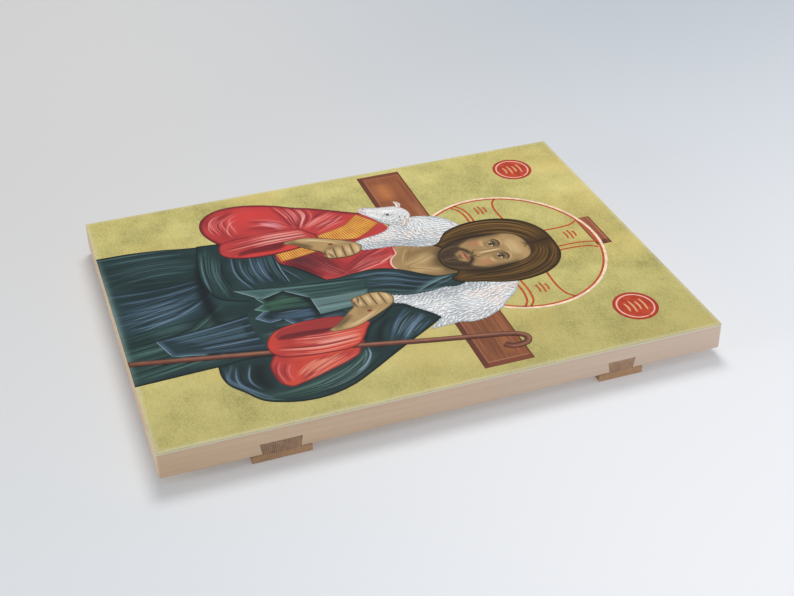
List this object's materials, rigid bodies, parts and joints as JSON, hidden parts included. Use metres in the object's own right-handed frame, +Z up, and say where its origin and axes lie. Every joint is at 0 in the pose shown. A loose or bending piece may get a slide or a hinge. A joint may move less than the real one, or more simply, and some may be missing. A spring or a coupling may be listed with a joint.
{
  "type": "religious icon",
  "caption": "Painted wooden icon panel: flat board with a gesso ground on its face and two tapered dovetail battens across its back, lying face up on the battens.",
  "frame": {"origin": "on the surface that the battens stand on, under the middle of the panel", "axes": "+Y towards the head of the picture along the panel's height, +X towards the picture's right side, +Z up out of the painted face"},
  "size_m": [0.3, 0.4, 0.0265],
  "materials": {
    "lime_wood": "bare planed wood, pale pinkish beige",
    "batten_wood": "bare planed wood, brown with clear growth rings",
    "gilded_gesso": "polished chalk ground under mottled greenish gold, satin",
    "tempera": "thin egg tempera film under a satin varnish"
  },
  "bodies": {
    "root": {"board": "lime_wood", "lower_batten": "batten_wood", "upper_batten": "batten_wood", "gesso_ground": "gilded_gesso"}
  },
  "joints": []
}
